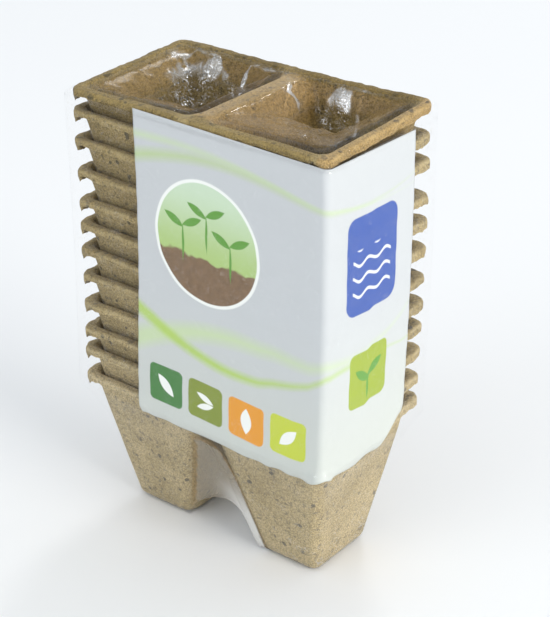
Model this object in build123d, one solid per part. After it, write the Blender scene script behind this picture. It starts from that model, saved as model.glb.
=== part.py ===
from build123d import *
import os

# A pack of nested twin seedling pots, pressed from fibre, held by a paper sleeve and clear shrink film.
# Frame: +Z up, X along the long side of the rims, origin at the middle of the underside, millimetres.

# Pot pair: two square tapered cups that hang from one shared rim. A draft is how far a wall leans over its height
PAIR_COUNT = 12
POT_HEIGHT = 60.0
WALL = 1.7
FLOOR_THICKNESS = 2.0
MOUTH_LENGTH = 54.5
MOUTH_WIDTH = 59.0
CUP_CORNER_RADIUS = 4.0
WEB_WIDTH = 4.0
END_DRAFT = 11.05
SIDE_DRAFT = 13.5
INNER_DRAFT = 15.95
FLOOR_BEVEL_WIDTH = 1.2
FLOOR_BEVEL_HEIGHT = 1.6

# Shared rim: a flat flange whose edge turns down into a lip
RIM_END_OVERHANG = 3.25
RIM_SIDE_OVERHANG = 2.75
RIM_CORNER_RADIUS = 6.0
RIM_THICKNESS = 1.8
RIM_BEVEL = 1.2
LIP_DEPTH = 4.6
SIDE_LIP_DEPTH = 3.0
LIP_THICKNESS = 1.5

# Nesting: a pair comes to rest against the steepest walls of the pair below
NEST_CLEARANCE = 0.3

# Paper sleeve: a strip round the front and one end, tucked in under the lowest rim
SLEEVE_THICKNESS = 0.3
SLEEVE_CLEARANCE = 0.3
SLEEVE_FRONT_SETBACK = 34.3
SLEEVE_END_SETBACK = 14.5
SLEEVE_TOP_DROP = 4.0
SLEEVE_TAIL = 4.0
SLEEVE_TUCK = 2.6

# Shrink film: a wrap under and round the stack, and the cover that is cut from it round the top rim
FILM_THICKNESS = 0.2
FILM_CLEARANCE = 0.3
FILM_SKIRT = 3.4
FILM_CUT_GAP = 0.3
FILM_CUP_GAP = 1.2
FILM_BRIDGE_HEIGHT = 9.6
FILM_FOOT_BEVEL = 1.2
ARCH_HEIGHT = 13.0
ARCH_INSET = 0.8
DIP_DEPTH = 15.0
DIP_WAIST_DEPTH = 5.0
DIP_EDGE_INSET = 2.0

# Every cut runs this far past the face that it leaves by
OVERRUN = 5.0

# Worked out from the sizes above
MOUTH_SPACING = MOUTH_LENGTH + WEB_WIDTH
FLOOR_SPACING = MOUTH_SPACING + INNER_DRAFT - END_DRAFT
FLOOR_LENGTH = MOUTH_LENGTH - END_DRAFT - INNER_DRAFT
FLOOR_WIDTH = MOUTH_WIDTH - 2 * SIDE_DRAFT
RIM_LENGTH = MOUTH_SPACING + MOUTH_LENGTH + 2 * RIM_END_OVERHANG
RIM_WIDTH = MOUTH_WIDTH + 2 * RIM_SIDE_OVERHANG
SIDE_LIP_LENGTH = RIM_LENGTH - 2 * RIM_CORNER_RADIUS - OVERRUN
STEEPEST_DRAFT = min(END_DRAFT, SIDE_DRAFT, INNER_DRAFT)
NEST_PITCH = (WALL + NEST_CLEARANCE) * POT_HEIGHT / STEEPEST_DRAFT
STACK_TOP = FILM_THICKNESS + POT_HEIGHT + (PAIR_COUNT - 1) * NEST_PITCH
LOWEST_LIP = FILM_THICKNESS + POT_HEIGHT - LIP_DEPTH
SLEEVE_TOP = STACK_TOP - SLEEVE_TOP_DROP
SLEEVE_BOTTOM = LOWEST_LIP - SLEEVE_TAIL
SLEEVE_GAP = SLEEVE_CLEARANCE + SLEEVE_THICKNESS
FILM_GAP = SLEEVE_GAP + FILM_CLEARANCE
FILM_CUT = STACK_TOP - FILM_SKIRT
FILM_TOP = STACK_TOP + FILM_CLEARANCE
SIDES = (-1, 1)

# A corner cut straight, as deep as a round one of radius 1
CUT_CORNER_SHARE = 2 - 2**0.5
WHOLE_SHARES = (1.0, 1.0)
MIDDLE_SHARES = (0.0, 0.0)
DIP_SHARES = {
    -1: (((0.74, 0.75), (0.058, 0.044)), ((0.38, 0.39), (0.048, 0.078))),
    1: (((0.59, 0.46), (0.016, 0.220)), ((0.32, 0.25), (0.027, 0.260))),
}


def tapered(sections):
    """A solid through level rectangles whose corners are alike: flat sides, ruled round corners."""
    faces = [sections[0].face(), sections[-1].face()]
    for low, high in zip(sections, sections[1:]):
        for below, above in zip(low.edges(), high.edges()):
            if below.geom_type == GeomType.LINE:
                faces.append(Face(Wire.make_polygon([below @ 0, below @ 1, above @ 1, above @ 0])))
            else:
                faces.append(Face.make_surface_from_curves(below, above))
    return Solid(Shell(faces))


def cut_rectangle(length, width, radius):
    """A rectangle whose corners are cut straight, just outside a round corner of that radius."""
    return chamfer(Rectangle(length, width).vertices(), radius * CUT_CORNER_SHARE)


def rim_outline(gap, height, tuck=0):
    """The rim's outline at a height, grown by a gap and then drawn in by a tuck that keeps its corners."""
    grown = gap - tuck
    outline = RectangleRounded(RIM_LENGTH + 2 * grown, RIM_WIDTH + 2 * grown, RIM_CORNER_RADIUS + gap)
    return Pos(0, 0, height) * outline


def cup_size(height):
    """One cup's outer length, width and distance from the middle at a height above its floor."""
    rise_share = height / POT_HEIGHT
    length = FLOOR_LENGTH + (MOUTH_LENGTH - FLOOR_LENGTH) * rise_share
    width = FLOOR_WIDTH + (MOUTH_WIDTH - FLOOR_WIDTH) * rise_share
    centre = (FLOOR_SPACING + (MOUTH_SPACING - FLOOR_SPACING) * rise_share) / 2
    return length, width, centre


def cup_outline(side, height, tuck=0):
    """One cup's outer section at a height above its floor, drawn in by a tuck."""
    length, width, centre = cup_size(height)
    outline = RectangleRounded(length - 2 * tuck, width - 2 * tuck, CUP_CORNER_RADIUS)
    return Pos(side * centre, 0, height) * outline


def cavity_outline(side, height):
    """The section of the space inside one cup at a height above the cup's floor."""
    length, width, centre = cup_size(height)
    outline = cut_rectangle(length - 2 * WALL, width - 2 * WALL, CUP_CORNER_RADIUS - WALL)
    return Pos(side * centre, 0, height) * outline


def cup_body(side):
    """The outside of one cup as a full solid, bevelled round its underside."""
    return tapered(
        [
            cup_outline(side, 0, FLOOR_BEVEL_WIDTH),
            cup_outline(side, FLOOR_BEVEL_HEIGHT),
            cup_outline(side, POT_HEIGHT - RIM_THICKNESS / 2),
        ]
    )


def cup_cavity(side):
    """The space inside one cup."""
    return tapered([cavity_outline(side, FLOOR_THICKNESS), cavity_outline(side, POT_HEIGHT + OVERRUN)])


def rim_body():
    """The shared flange, bevelled round its top, with a lip turned down all round, deepest at the ends."""
    lip_bottom = POT_HEIGHT - LIP_DEPTH
    block = tapered(
        [
            rim_outline(0, lip_bottom),
            rim_outline(0, POT_HEIGHT - RIM_BEVEL),
            rim_outline(0, POT_HEIGHT, RIM_BEVEL),
        ]
    )
    hollow = cut_rectangle(
        RIM_LENGTH - 2 * LIP_THICKNESS, RIM_WIDTH - 2 * LIP_THICKNESS, RIM_CORNER_RADIUS - LIP_THICKNESS
    )
    long_sides = Pos(0, 0, lip_bottom - OVERRUN) * Rectangle(SIDE_LIP_LENGTH, RIM_WIDTH + OVERRUN)
    block = block - extrude(long_sides, OVERRUN + LIP_DEPTH - SIDE_LIP_DEPTH)
    return block - extrude(Pos(0, 0, lip_bottom - OVERRUN) * hollow, OVERRUN + LIP_DEPTH - RIM_THICKNESS)


def pot_pair():
    """One moulding: two cups under one rim, standing at height zero."""
    pair = rim_body()
    for side in SIDES:
        pair = pair + cup_body(side)
    for side in SIDES:
        pair = pair - cup_cavity(side)
    return pair


def sleeve_solid(gap):
    """The space inside the sleeve's outline grown by a gap, drawn in below the lowest rim."""
    return tapered(
        [
            rim_outline(gap, SLEEVE_BOTTOM, SLEEVE_TUCK),
            rim_outline(gap, LOWEST_LIP),
            rim_outline(gap, SLEEVE_TOP),
        ]
    )


def paper_sleeve():
    """A strip of paper round the front and one end."""
    band = sleeve_solid(SLEEVE_GAP) - sleeve_solid(SLEEVE_CLEARANCE)
    left_edge = SLEEVE_FRONT_SETBACK - RIM_LENGTH / 2
    back_edge = RIM_WIDTH / 2 - SLEEVE_END_SETBACK
    corner = Box(RIM_LENGTH, RIM_WIDTH, STACK_TOP, align=(Align.MIN, Align.MAX, Align.MIN))
    return band & (Pos(left_edge, back_edge, 0) * corner)


def hug_outline(grown, height, tuck=0):
    """The outline of the film round both lowest cups at a height, with the corners that it has at the rims."""
    length, width, centre = cup_size(height)
    gap = FILM_CUP_GAP + grown - tuck
    radius = RIM_CORNER_RADIUS + FILM_GAP + grown
    return Pos(0, 0, height) * RectangleRounded(2 * centre + length + 2 * gap, width + 2 * gap, radius)


def arch_tunnel(gap):
    """The arch that the film draws between the two floors, grown by a gap, as a tunnel along Y."""
    half_span = (FLOOR_SPACING - FLOOR_LENGTH) / 2 - ARCH_INSET
    radius = (half_span**2 + ARCH_HEIGHT**2) / (2 * ARCH_HEIGHT)
    centre = ARCH_HEIGHT - radius
    return Pos(0, 0, centre) * Rot(90, 0, 0) * Cylinder(radius + gap, RIM_WIDTH + OVERRUN)


def wrap_solid(grown, floor, top):
    """The space inside the wrap, up along the lowest cups, out to the lowest lip and on to a level top."""
    body = tapered(
        [
            hug_outline(grown, floor, FILM_FOOT_BEVEL),
            hug_outline(grown, floor + FILM_FOOT_BEVEL),
            hug_outline(grown, LOWEST_LIP - FILM_BRIDGE_HEIGHT),
            rim_outline(FILM_GAP + grown, LOWEST_LIP),
            rim_outline(FILM_GAP + grown, top),
        ]
    )
    return body - arch_tunnel(FILM_THICKNESS - grown)


def film_wrap():
    """Film under both floors, up round the stack and open where the cover was cut away."""
    top = FILM_CUT - FILM_CUT_GAP
    return wrap_solid(FILM_THICKNESS, 0, top) - wrap_solid(0, FILM_THICKNESS, top + OVERRUN)


def cover_solid(grown, bottom):
    """The space under the cover's skirt and flat top, bevelled as the rim is."""
    gap = FILM_GAP + grown
    top = FILM_TOP + grown
    return tapered([rim_outline(gap, bottom), rim_outline(gap, top - RIM_BEVEL), rim_outline(gap, top, RIM_BEVEL)])


def dip_outline(side, size_shares, shift_shares, grown, height):
    """A cut rectangle inside one mouth at a height, sized and set off its middle by shares of the mouth."""
    length = MOUTH_LENGTH - 2 * (WALL + DIP_EDGE_INSET)
    width = MOUTH_WIDTH - 2 * (WALL + DIP_EDGE_INSET)
    outline = cut_rectangle(
        length * size_shares[0] + 2 * grown, width * size_shares[1] + 2 * grown, CUP_CORNER_RADIUS
    )
    middle = side * MOUTH_SPACING / 2 + length * shift_shares[0]
    return Pos(middle, width * shift_shares[1], height) * outline


def dip_solid(side, grown, top):
    """The space in one dip of the cover up to a level top, grown by the film's thickness for its outside."""
    waist, floor = DIP_SHARES[side]
    return tapered(
        [
            dip_outline(side, *floor, grown, FILM_TOP - DIP_DEPTH - grown),
            dip_outline(side, *waist, grown, FILM_TOP - DIP_WAIST_DEPTH - grown),
            dip_outline(side, WHOLE_SHARES, MIDDLE_SHARES, grown, FILM_TOP - grown),
            dip_outline(side, WHOLE_SHARES, MIDDLE_SHARES, grown, top),
        ]
    )


def film_cover():
    """Film over the top rim with a short skirt, drawn down into the two top cups."""
    cover = cover_solid(FILM_THICKNESS, FILM_CUT) - cover_solid(0, FILM_CUT - OVERRUN)
    for side in SIDES:
        cover = cover + dip_solid(side, FILM_THICKNESS, FILM_TOP + FILM_THICKNESS)
    for side in SIDES:
        cover = cover - dip_solid(side, 0, FILM_TOP + OVERRUN)
    return cover


def save(name, shape):
    """Write one node's solid."""
    export_step(shape, os.path.join("parts", name + ".step"))


os.makedirs("parts", exist_ok=True)
pair = pot_pair()
for layer in range(PAIR_COUNT):
    lift = FILM_THICKNESS + layer * NEST_PITCH
    save(f"pot_pair_{layer + 1:02d}", Pos(0, 0, lift) * pair)
save("paper_sleeve", paper_sleeve())
save("film_wrap", film_wrap())
save("film_cover", film_cover())
print("rim", round(RIM_LENGTH, 2), "x", round(RIM_WIDTH, 2), "pitch", round(NEST_PITCH, 3))
print("stack top", round(STACK_TOP, 3), "sleeve", round(SLEEVE_BOTTOM, 2), "to", round(SLEEVE_TOP, 2))
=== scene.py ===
"""Looks of a pack of twelve nested twin seedling pots in a printed paper sleeve and clear film.

Lengths are in metres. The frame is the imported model's own: +X runs along a pair towards the
sleeved end, -Y is the sleeved front, +Z is up, and the pack stands on z = 0.
"""
from __future__ import annotations

import logging
import math
from dataclasses import dataclass
from enum import Enum
from typing import Any, Callable, Iterable, Sequence

import bmesh
import bpy
import numpy as np
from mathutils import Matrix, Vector, noise

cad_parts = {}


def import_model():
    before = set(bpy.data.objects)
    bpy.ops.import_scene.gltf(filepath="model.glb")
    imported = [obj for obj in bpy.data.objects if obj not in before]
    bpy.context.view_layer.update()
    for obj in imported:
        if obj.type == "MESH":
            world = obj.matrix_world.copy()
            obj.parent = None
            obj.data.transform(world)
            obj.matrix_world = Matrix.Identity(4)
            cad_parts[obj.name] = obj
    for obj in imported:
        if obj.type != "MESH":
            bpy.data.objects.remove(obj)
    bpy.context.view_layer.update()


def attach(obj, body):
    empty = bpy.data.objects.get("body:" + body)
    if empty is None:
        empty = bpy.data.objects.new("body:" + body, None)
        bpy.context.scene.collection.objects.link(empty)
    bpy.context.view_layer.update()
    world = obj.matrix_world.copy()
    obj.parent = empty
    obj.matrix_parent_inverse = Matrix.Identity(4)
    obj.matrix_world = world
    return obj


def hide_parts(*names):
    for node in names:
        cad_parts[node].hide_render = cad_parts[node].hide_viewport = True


log = logging.getLogger("pot_pack")

Points = np.ndarray
Colour = tuple[float, float, float]
Line = tuple[tuple[float, float], ...]
MM = 0.001
SLEEVE_MM = (136.0, 125.0)
LEVEL = 0.00001
UNEVEN_SPOT = (0.0371, 0.0233, 0.0417)


# Shared arithmetic

def ease(values: Points | float, low: float, high: float) -> Points:
    """Rise smoothly from 0 at low to 1 at high.

    Args:
        values: Numbers to ease.
        low: Value that gives 0.
        high: Value that gives 1.

    Returns:
        Numbers from 0 to 1.
    """
    share = np.clip((np.asarray(values) - low) / (high - low), 0.0, 1.0)
    return share * share * (3.0 - 2.0 * share)


def waves(points: Points, size: float, seed: float) -> Points:
    """Smooth noise at each point.

    Args:
        points: Rows of x, y and z.
        size: Length of one swell.
        seed: Number that tells one use from another.

    Returns:
        A number from about -1 to 1 for each row.
    """
    shift = Vector((3.7 * seed, 11.3 - 1.9 * seed, 5.3 * seed))
    return np.array([noise.noise(Vector(row) / size + shift) for row in points.tolist()])


def creases(points: Points, size: float, seed: float) -> Points:
    """Sharp ridges at each point, 1 on a ridge line and about 0 between ridges.

    Args:
        points: Rows of x, y and z.
        size: Distance between ridges.
        seed: Number that tells one use from another.

    Returns:
        A number from 0 to 1 for each row.
    """
    return np.clip(1.0 - 2.6 * np.abs(waves(points, size, seed)), 0.0, 1.0)


@dataclass(frozen=True)
class Swell:
    """One layer of smooth noise: its height, the length of one swell, and its seed."""

    height: float
    size: float
    seed: float

    @staticmethod
    def total(swells: Iterable[Swell], points: Points) -> Points:
        """Add up layers of noise.

        Args:
            swells: The layers.
            points: Rows of x, y and z.

        Returns:
            A length for each row.
        """
        return sum(swell.height * waves(points, swell.size, swell.seed) for swell in swells)


def rounded(plan: Points, half_x: Points, half_y: Points, corner: Points) -> Points:
    """Round the corners of points laid out on a rectangle.

    Args:
        plan: Rows of x and y inside the rectangle.
        half_x: Half the rectangle's length, for each row.
        half_y: Half the rectangle's width, for each row.
        corner: Corner radius, for each row.

    Returns:
        Rows of x and y with square corners drawn in to arcs.
    """
    sign = np.sign(plan)
    over_x = np.maximum(np.abs(plan[:, 0]) - (half_x - corner), 0.0)
    over_y = np.maximum(np.abs(plan[:, 1]) - (half_y - corner), 0.0)
    reach = np.hypot(over_x, over_y)
    share = np.where(reach > 1e-9, np.maximum(over_x, over_y) / np.maximum(reach, 1e-9), 1.0)
    x = np.where(over_x > 0.0, half_x - corner + over_x * share, np.abs(plan[:, 0]))
    y = np.where(over_y > 0.0, half_y - corner + over_y * share, np.abs(plan[:, 1]))
    return np.column_stack([sign[:, 0] * x, sign[:, 1] * y])


# The modelling bench

class Element(Enum):
    """What a selection picks."""

    VERTEX = "VERT"
    EDGE = "EDGE"
    FACE = "FACE"


class Axis(Enum):
    """Directions that a mesh is sliced along."""

    X = (1.0, 0.0, 0.0)
    Y = (0.0, 1.0, 0.0)
    Z = (0.0, 0.0, 1.0)


class Bench:
    """Edit-mode work on one mesh at a time."""

    @staticmethod
    def clear() -> None:
        """Leave edit mode and deselect every object."""
        if bpy.context.mode != "OBJECT":
            bpy.ops.object.mode_set(mode="OBJECT")
        bpy.ops.object.select_all(action="DESELECT")

    @staticmethod
    def take(piece: bpy.types.Object) -> None:
        """Select one piece alone and make it active."""
        Bench.clear()
        piece.select_set(True)
        bpy.context.view_layer.objects.active = piece

    @staticmethod
    def edit(piece: bpy.types.Object) -> None:
        """Take one piece and enter edit mode on it."""
        Bench.take(piece)
        bpy.ops.object.mode_set(mode="EDIT")

    @staticmethod
    def pick(element: Element, test: Callable[[Any], bool]) -> int:
        """Select what passes a test in the mesh under edit.

        Args:
            element: Kind of element to pick.
            test: Takes a bmesh element and says whether it is picked.

        Returns:
            How many were picked.
        """
        bpy.ops.mesh.select_mode(type=element.value)
        bpy.ops.mesh.select_all(action="DESELECT")
        mesh = bpy.context.edit_object.data
        shape = bmesh.from_edit_mesh(mesh)
        shape.normal_update()
        every = {Element.VERTEX: shape.verts, Element.EDGE: shape.edges, Element.FACE: shape.faces}
        chosen = [item for item in every[element] if test(item)]
        for item in chosen:
            item.select_set(True)
        shape.select_flush_mode()
        bmesh.update_edit_mesh(mesh)
        return len(chosen)

    @staticmethod
    def slice(axis: Axis, places: Iterable[float]) -> None:
        """Cut the whole mesh under edit on planes square to an axis.

        Args:
            axis: Direction that the planes face.
            places: Where each plane stands along it.
        """
        Bench.order()
        for place in places:
            bpy.ops.mesh.select_all(action="SELECT")
            bpy.ops.mesh.bisect(plane_co=[place * n for n in axis.value], plane_no=axis.value)

    @staticmethod
    def order() -> None:
        """Number the mesh under edit outwards from an uneven spot, so that runs work through it alike."""
        cursor = bpy.context.scene.cursor
        cursor.location = UNEVEN_SPOT
        bpy.ops.mesh.select_all(action="SELECT")
        bpy.ops.mesh.sort_elements(type="CURSOR_DISTANCE", elements={"VERT", "EDGE", "FACE"})
        cursor.location = (0.0, 0.0, 0.0)

    @staticmethod
    def thicken(piece: bpy.types.Object, thickness: float, offset: float) -> None:
        """Give an open shell its thickness.

        Args:
            piece: Shell to thicken.
            thickness: Thickness of the wall.
            offset: 1 grows along the normals and -1 against them.
        """
        Bench.take(piece)
        bpy.ops.object.modifier_add(type="SOLIDIFY")
        wall = piece.modifiers[-1]
        wall.thickness = thickness
        wall.offset = offset
        wall.use_quality_normals = True
        bpy.ops.object.modifier_apply(modifier=wall.name)

    @staticmethod
    def rows(piece: bpy.types.Object) -> Points:
        """Rows of x, y and z of a piece's vertices."""
        flat = np.empty(len(piece.data.vertices) * 3)
        piece.data.vertices.foreach_get("co", flat)
        return flat.reshape(-1, 3)

    @staticmethod
    def shape(piece: bpy.types.Object, rows: Points) -> None:
        """Move a piece's vertices to new rows of x, y and z."""
        piece.data.vertices.foreach_set("co", np.ascontiguousarray(rows).ravel())
        piece.data.update()

    @staticmethod
    def note(piece: bpy.types.Object, name: str, values: Points) -> None:
        """Keep a number on each vertex for the material to read.

        Args:
            piece: Piece to write on.
            name: Name of the attribute.
            values: One number for each vertex.
        """
        layer = piece.data.attributes.new(name, "FLOAT", "POINT")
        layer.data.foreach_set("value", np.ascontiguousarray(values, dtype=np.float32))

    @staticmethod
    def dress(piece: bpy.types.Object, finish: bpy.types.Material, name: str) -> None:
        """Give a modelled piece its finish and its name, and shade it smooth.

        Args:
            piece: Piece to dress.
            finish: Its only material.
            name: Name of the piece and of its mesh.
        """
        piece.data.materials.clear()
        piece.data.materials.append(finish)
        Bench.take(piece)
        bpy.ops.object.shade_smooth()
        piece.name = name
        piece.data.name = name
        Bench.clear()


# Shader wiring

class Wiring:
    """A shader node tree under construction."""

    def __init__(self, tree: bpy.types.NodeTree) -> None:
        """Start on a tree."""
        self.tree = tree

    def node(self, kind: str, inputs: dict[Any, Any] | None = None, **settings: Any) -> bpy.types.Node:
        """Add a node.

        Args:
            kind: Blender's name for the node.
            inputs: Values or sockets for its inputs, by name or number.
            **settings: Attributes of the node.

        Returns:
            The node.
        """
        made = self.tree.nodes.new(kind)
        for name, value in settings.items():
            setattr(made, name, value)
        for name, value in (inputs or {}).items():
            self.feed(made.inputs[name], value)
        return made

    def feed(self, socket: bpy.types.NodeSocket, value: Any) -> None:
        """Link a socket, or set its own value."""
        if isinstance(value, bpy.types.NodeSocket):
            self.tree.links.new(value, socket)
        else:
            socket.default_value = value

    def math(self, work: str, *values: Any, clamp: bool = False) -> bpy.types.NodeSocket:
        """Add a Math node.

        Args:
            work: Its operation.
            *values: Its inputs in order.
            clamp: Whether the result is held from 0 to 1.

        Returns:
            Its result.
        """
        made = self.node("ShaderNodeMath", dict(enumerate(values)), operation=work, use_clamp=clamp)
        return made.outputs[0]

    def vector(self, work: str, *values: Any) -> bpy.types.NodeSocket:
        """Add a Vector Math node and return its vector result."""
        return self.node("ShaderNodeVectorMath", dict(enumerate(values)), operation=work).outputs[0]

    def span(self, value: Any, low: float, high: float, to_low: float = 0.0, to_high: float = 1.0) -> Any:
        """Map one range on to another with a smooth step.

        Args:
            value: Socket to map.
            low: Start of its range.
            high: End of its range.
            to_low: Result at the start.
            to_high: Result at the end.

        Returns:
            The mapped socket.
        """
        numbers = {0: value, 1: low, 2: high, 3: to_low, 4: to_high}
        return self.node("ShaderNodeMapRange", numbers, interpolation_type="SMOOTHSTEP").outputs[0]

    def blend(self, share: Any, first: Any, second: Any) -> bpy.types.NodeSocket:
        """Mix two colours.

        Args:
            share: How much of the second colour shows.
            first: Colour or socket.
            second: Colour or socket.

        Returns:
            The mixed colour.
        """
        full = [(*c, 1.0) if isinstance(c, tuple) and len(c) == 3 else c for c in (first, second)]
        made = self.node("ShaderNodeMix", {0: share, 6: full[0], 7: full[1]}, data_type="RGBA")
        return made.outputs[2]

    def grain(self, place: Any, scale: Any, detail: float = 2.0, rough: float = 0.5,
              swirl: float = 0.0) -> bpy.types.NodeSocket:
        """Add a noise texture.

        Args:
            place: Vector socket.
            scale: Swells in a metre.
            detail: Octaves of finer noise.
            rough: Strength of the finer noise.
            swirl: Distortion.

        Returns:
            Its value from 0 to 1.
        """
        numbers = {"Vector": place, "Scale": scale, "Detail": detail, "Roughness": rough, "Distortion": swirl}
        return self.node("ShaderNodeTexNoise", numbers).outputs["Fac"]

    def body(self) -> bpy.types.NodeSocket:
        """Place on the piece, in its own frame."""
        return self.node("ShaderNodeTexCoord").outputs["Object"]

    def noted(self, name: str) -> bpy.types.NodeSocket:
        """Number that the piece keeps on its vertices under a name."""
        return self.node("ShaderNodeAttribute", attribute_name=name).outputs["Fac"]

    def split(self, value: Any) -> Any:
        """The x, y and z of a vector."""
        return self.node("ShaderNodeSeparateXYZ", {0: value}).outputs

    def join(self, x: Any, y: Any, z: Any) -> bpy.types.NodeSocket:
        """A vector made of three numbers."""
        return self.node("ShaderNodeCombineXYZ", {0: x, 1: y, 2: z}).outputs[0]

    def sum(self, first: Any, second: Any, share: float) -> bpy.types.NodeSocket:
        """A number with a share of a second one added."""
        return self.math("ADD", first, self.math("MULTIPLY", second, share))

    def relief(self, skin: bpy.types.Node, height: Any, strength: float, depth: float) -> None:
        """Feed a shader's normal from a height.

        Args:
            skin: The Principled BSDF.
            height: Socket of the height.
            strength: Strength of the bump.
            depth: Its depth in metres.
        """
        bump = self.node("ShaderNodeBump", {"Height": height, "Strength": strength, "Distance": depth})
        self.feed(skin.inputs["Normal"], bump.outputs[0])


class Group:
    """A shader node group with named inputs that puts out one mask."""

    def __init__(self, name: str, vectors: Sequence[str], numbers: Sequence[str]) -> None:
        """Make the group and its sockets.

        Args:
            name: Name of the group.
            vectors: Names of its vector inputs.
            numbers: Names of its number inputs.
        """
        self.tree = bpy.data.node_groups.new(name, "ShaderNodeTree")
        sockets = self.tree.interface
        for title in vectors:
            sockets.new_socket(title, in_out="INPUT", socket_type="NodeSocketVector")
        for title in numbers:
            sockets.new_socket(title, in_out="INPUT", socket_type="NodeSocketFloat")
        sockets.new_socket("Mask", in_out="OUTPUT", socket_type="NodeSocketFloat")
        self.wiring = Wiring(self.tree)
        self.inside = self.wiring.node("NodeGroupInput").outputs
        self.outside = self.wiring.node("NodeGroupOutput").inputs

    def give(self, mask: bpy.types.NodeSocket) -> Group:
        """Put out a mask and return the group."""
        self.wiring.feed(self.outside["Mask"], mask)
        return self

    def place(self, wiring: Wiring, **inputs: Any) -> bpy.types.NodeSocket:
        """Place the group in a material.

        Args:
            wiring: The material's tree.
            **inputs: Values or sockets by name.

        Returns:
            The mask.
        """
        return wiring.node("ShaderNodeGroup", inputs, node_tree=self.tree).outputs["Mask"]


def new_finish(name: str, **plain: float) -> tuple[bpy.types.Material, Wiring, bpy.types.Node]:
    """Start a material.

    Args:
        name: Name of the material.
        **plain: Plain values of its shader, by input with underscores for spaces.

    Returns:
        The material, its wiring and its Principled BSDF.
    """
    made = bpy.data.materials.new(name)
    made.use_nodes = True
    skin = made.node_tree.nodes["Principled BSDF"]
    for title, value in plain.items():
        skin.inputs[title.replace("_", " ")].default_value = value
    return made, Wiring(made.node_tree), skin


def hairs_group() -> Group:
    """Fine curled hairs, as in pulp and paper.

    Returns:
        A group with Vector, Scale and Width that gives a Mask, 1 on a hair.
    """
    made = Group("fine_hairs", ("Vector",), ("Scale", "Width"))
    wire, inside = made.wiring, made.inside
    swell = wire.grain(inside["Vector"], inside["Scale"], detail=1.5, swirl=1.6)
    away = wire.math("ABSOLUTE", wire.math("SUBTRACT", swell, 0.5))
    thin = wire.math("DIVIDE", away, inside["Width"])
    return made.give(wire.math("SUBTRACT", 1.0, thin, clamp=True))


def patch_group() -> Group:
    """A rounded rectangle on flat print.

    Returns:
        A group with Vector, Centre, Half, Corner and Soft that gives a Mask.
    """
    made = Group("print_patch", ("Vector", "Centre", "Half"), ("Corner", "Soft"))
    wire, inside = made.wiring, made.inside
    away = wire.vector("ABSOLUTE", wire.vector("SUBTRACT", inside["Vector"], inside["Centre"]))
    over = wire.vector("SUBTRACT", away, inside["Half"])
    split = wire.split(over)
    x, y = (wire.math("MAXIMUM", wire.math("ADD", split[k], inside["Corner"]), 0.0) for k in (0, 1))
    reach = wire.math("SQRT", wire.math("ADD", wire.math("MULTIPLY", x, x), wire.math("MULTIPLY", y, y)))
    gap = wire.math("SUBTRACT", inside["Corner"], reach)
    return made.give(wire.math("DIVIDE", gap, inside["Soft"], clamp=True))


def leaf_group() -> Group:
    """A pointed leaf on flat print.

    Returns:
        A group with Vector, Centre, Turn, Length and Fat that gives a Mask.
    """
    made = Group("print_leaf", ("Vector", "Centre"), ("Turn", "Length", "Fat"))
    wire, inside = made.wiring, made.inside
    local = wire.vector("SUBTRACT", inside["Vector"], inside["Centre"])
    turned = wire.node("ShaderNodeVectorRotate", {"Vector": local, "Angle": inside["Turn"]},
                       rotation_type="Z_AXIS").outputs[0]
    split = wire.split(turned)
    along = wire.math("DIVIDE", split[0], inside["Length"])
    bow = wire.math("SUBTRACT", 1.0, wire.math("MULTIPLY", along, along))
    half = wire.math("MULTIPLY", bow, inside["Fat"])
    gap = wire.math("SUBTRACT", half, wire.math("ABSOLUTE", split[1]))
    return made.give(wire.math("DIVIDE", gap, 0.35, clamp=True))


def ribbon_group() -> Group:
    """A curved band that thins along its length, on flat print.

    Returns:
        A group with Vector, Base, Rise, Bow, Width and Soft that gives a Mask.
    """
    made = Group("print_ribbon", ("Vector",), ("Base", "Rise", "Bow", "Width", "Soft"))
    wire, inside = made.wiring, made.inside
    split = wire.split(inside["Vector"])
    share = wire.math("DIVIDE", split[0], SLEEVE_MM[0])
    line = wire.math("ADD", inside["Base"], wire.math("MULTIPLY", share, inside["Rise"]))
    bend = wire.math("SINE", wire.math("MULTIPLY", share, 5.6))
    middle = wire.math("ADD", line, wire.math("MULTIPLY", bend, inside["Bow"]))
    half = wire.math("MULTIPLY", inside["Width"], wire.math("SUBTRACT", 1.25, share))
    gap = wire.math("SUBTRACT", half, wire.math("ABSOLUTE", wire.math("SUBTRACT", split[1], middle)))
    return made.give(wire.math("DIVIDE", gap, inside["Soft"], clamp=True))


# Finishes

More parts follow.
